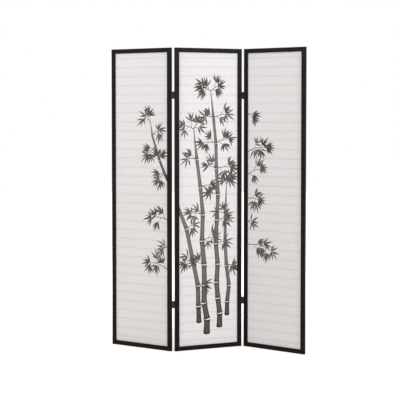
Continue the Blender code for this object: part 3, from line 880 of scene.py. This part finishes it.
class SHOJI_OT_glue_laths(bpy.types.Operator):
    """Glues the thin wooden laths across the back of each sheet"""
    bl_idname = "shoji.glue_laths"
    bl_label = "Glue the laths"

    def execute(self, context):
        sizes = context.scene.shoji_sizes
        material = sawn_lime(context.scene.shoji_colours)
        for name in PANELS:
            plane = PanelPlane(name)
            bm = bmesh.new()
            for low, high in plane.lath_spans:
                self.add_lath(bm, plane, low, high, sizes)
            laths = make_piece(f"{name}_laths", bm, material, plane)
            shade_smooth(laths)
        return {"FINISHED"}

    @staticmethod
    def add_lath(bm, plane, low, high, sizes):
        """A thin strip with its two outer long edges rounded, which follows the paper."""
        glued, back, r = plane.paper_back, plane.laths_back, sizes.lath_rounding
        outline = [(glued, low), (back - r, low)]
        for turn in (math.pi / 6, math.pi / 3):
            outline.append((back - r + r * math.sin(turn), low + r - r * math.cos(turn)))
        outline.append((back, low + r))
        outline += [(y, low + high - z) for y, z in outline[::-1]]
        rings, steps = [], 24
        for i in range(steps + 1):
            across = plane.half_sheet * (2 * i / steps - 1)
            relief = paper_relief(across, (low + high) / 2, plane, sizes.paper_cockle)
            rings.append([bm.verts.new((across, y + relief, z)) for y, z in outline])
        join_rings(bm, rings)
        bm.faces.new(rings[0])
        bm.faces.new(rings[-1])


class SHOJI_OT_print_bamboo(bpy.types.Operator):
    """Prints the bamboo in ink on the front of the three sheets, with its ghost painted as shade on their
    backs
    """
    bl_idname = "shoji.print_bamboo"
    bl_label = "Print the bamboo"

    def execute(self, context):
        sizes, colours = context.scene.shoji_sizes, context.scene.shoji_colours
        ink, ghost = brushed_ink(colours), print_shade_paper(colours)
        for name, draw, seed in (("left", brush_left, 3), ("centre", brush_centre, 5),
                                 ("right", brush_right, 8)):
            plane = PanelPlane(name)
            brush = Brush(plane, sizes, seed)
            draw(brush)
            levels = stroke_levels(brush.strokes)
            # The print_through pieces carry the print's ghost as painted shade on the sheets' backs.
            for piece, sheet, side, material in ((f"{name}_print", plane.paper_front, -1, ink),
                                                 (f"{name}_print_through", plane.paper_back, 1, ghost)):
                bm = bmesh.new()
                bm.loops.layers.uv.new("stroke")
                bm.verts.layers.float.new("tone")
                for rows, level in zip(brush.strokes, levels):
                    add_stroke(bm, rows, level, sizes.ink_film, sheet, side)
                trim_to_opening(bm, plane)
                for vert in bm.verts:
                    vert.co.y += paper_relief(vert.co.x, vert.co.z, plane, sizes.paper_cockle)
                make_piece(piece, bm, material, plane)
        return {"FINISHED"}


class SHOJI_OT_set_stage(bpy.types.Operator):
    """Lays a pale floor, lights it softly and sets the camera"""
    bl_idname = "shoji.set_stage"
    bl_label = "Set the stage"

    def execute(self, context):
        scene = context.scene
        scene.view_settings.view_transform = "Standard"
        self.lay_floor(scene.shoji_colours)
        self.light_world(scene)
        for lamp in LAMPS:
            self.add_lamp(*lamp)
        self.set_camera(scene)
        return {"FINISHED"}

    @staticmethod
    def lay_floor(colours):
        """A wide floor that shows white to the camera away from the object's shadow."""
        half_side, shadow_reach, white_from, least_glow = 14, 0.5, 2.4, 0.35
        material, tree, shader = new_material("studio_floor", {
            "Base Color": colours.floor[:], "Roughness": 0.9, "Emission Color": WHITE})
        place = add_node(tree, "ShaderNodeTexCoord").outputs["Object"]
        away = add_node(tree, "ShaderNodeVectorMath", {0: place}, operation="LENGTH")
        glow = add_node(tree, "ShaderNodeMapRange", {
            "Value": away, "From Min": shadow_reach, "From Max": white_from,
            "To Min": least_glow, "To Max": 1.0})
        seen = add_node(tree, "ShaderNodeMath", {
            0: glow, 1: white_background_rays(tree)}, operation="MULTIPLY")
        connect(tree, shader, {"Emission Strength": seen})
        bm = bmesh.new()
        bmesh.ops.create_grid(bm, x_segments=1, y_segments=1, size=half_side)
        floor = add_mesh("floor", bm, material)

    @staticmethod
    def light_world(scene):
        """White behind the object for camera, gloss and glass, and a plain pale light for the rest."""
        world = bpy.data.worlds.new("studio")
        scene.world = world
        world.use_nodes = True
        tree = world.node_tree
        rays = white_background_rays(tree)
        colour = add_node(tree, "ShaderNodeMix", {
            "Factor": rays, "A": scene.shoji_colours.room_light[:], "B": WHITE}, data_type="RGBA")
        connect(tree, tree.nodes["Background"], {"Color": colour, "Strength": 1.0})

    @staticmethod
    def add_lamp(name, place, aim, power, side, hex_colour):
        """A square soft lamp that faces a place."""
        light = bpy.data.lights.new(name, "AREA")
        light.energy, light.size, light.color = power, side, linear(hex_colour)[:3]
        lamp = add_object(name, light)
        lamp.location = place
        lamp.rotation_euler = (Vector(aim) - Vector(place)).to_track_quat("-Z", "Y").to_euler()

    @staticmethod
    def set_camera(scene):
        """A camera at the photo's viewing angle, framed for a square picture."""
        camera = add_object("camera", bpy.data.cameras.new("camera"))
        camera.location = PanelPlane("centre").origin + Vector(CAMERA_PLACE)
        camera.rotation_euler = (math.radians(90 - CAMERA_TILT), 0, math.radians(-CAMERA_TURN))
        camera.data.lens = FOCAL_PIXELS / PHOTO_PIXELS * camera.data.sensor_width
        camera.data.shift_y = CAMERA_SHIFT
        scene.camera = camera


def white_background_rays(tree):
    """1 for camera, glossy and transmission rays, and 0 for the rest."""
    rays = add_node(tree, "ShaderNodeLightPath").outputs
    either = add_node(tree, "ShaderNodeMath", {
        0: rays["Is Camera Ray"], 1: rays["Is Glossy Ray"]}, operation="MAXIMUM")
    return add_node(tree, "ShaderNodeMath", {
        0: either, 1: rays["Is Transmission Ray"]}, operation="MAXIMUM")


class SHOJI_PT_steps(bpy.types.Panel):
    """Lists the steps that finish the screen, with their sizes and colours"""
    bl_label = "Shoji Screen"
    bl_idname = "SHOJI_PT_steps"
    bl_space_type = "VIEW_3D"
    bl_region_type = "UI"
    bl_category = "Shoji Screen"

    def draw(self, context):
        layout = self.layout
        for operator in OPERATORS:
            layout.operator(operator.bl_idname)
        for group in (context.scene.shoji_sizes, context.scene.shoji_colours):
            box = layout.box()
            for name in group.__annotations__:
                box.prop(group, name)


OPERATORS = (SHOJI_OT_lacquer_frames, SHOJI_OT_enamel_hinges, SHOJI_OT_drive_screws, SHOJI_OT_hang_paper,
             SHOJI_OT_glue_laths, SHOJI_OT_print_bamboo, SHOJI_OT_set_stage)
CLASSES = (ShojiSizes, ShojiColours, *OPERATORS, SHOJI_PT_steps)


def register():
    for cls in CLASSES:
        bpy.utils.register_class(cls)
    bpy.types.Scene.shoji_sizes = bpy.props.PointerProperty(type=ShojiSizes)
    bpy.types.Scene.shoji_colours = bpy.props.PointerProperty(type=ShojiColours)


def unregister():
    del bpy.types.Scene.shoji_colours
    del bpy.types.Scene.shoji_sizes
    for cls in reversed(CLASSES):
        bpy.utils.unregister_class(cls)


def main():
    """Runs every step in order."""
    register()
    bpy.ops.shoji.lacquer_frames()
    bpy.ops.shoji.enamel_hinges()
    bpy.ops.shoji.drive_screws()
    bpy.ops.shoji.hang_paper()
    bpy.ops.shoji.glue_laths()
    bpy.ops.shoji.print_bamboo()
    bpy.ops.shoji.set_stage()


if __name__ == "__main__":
    main()
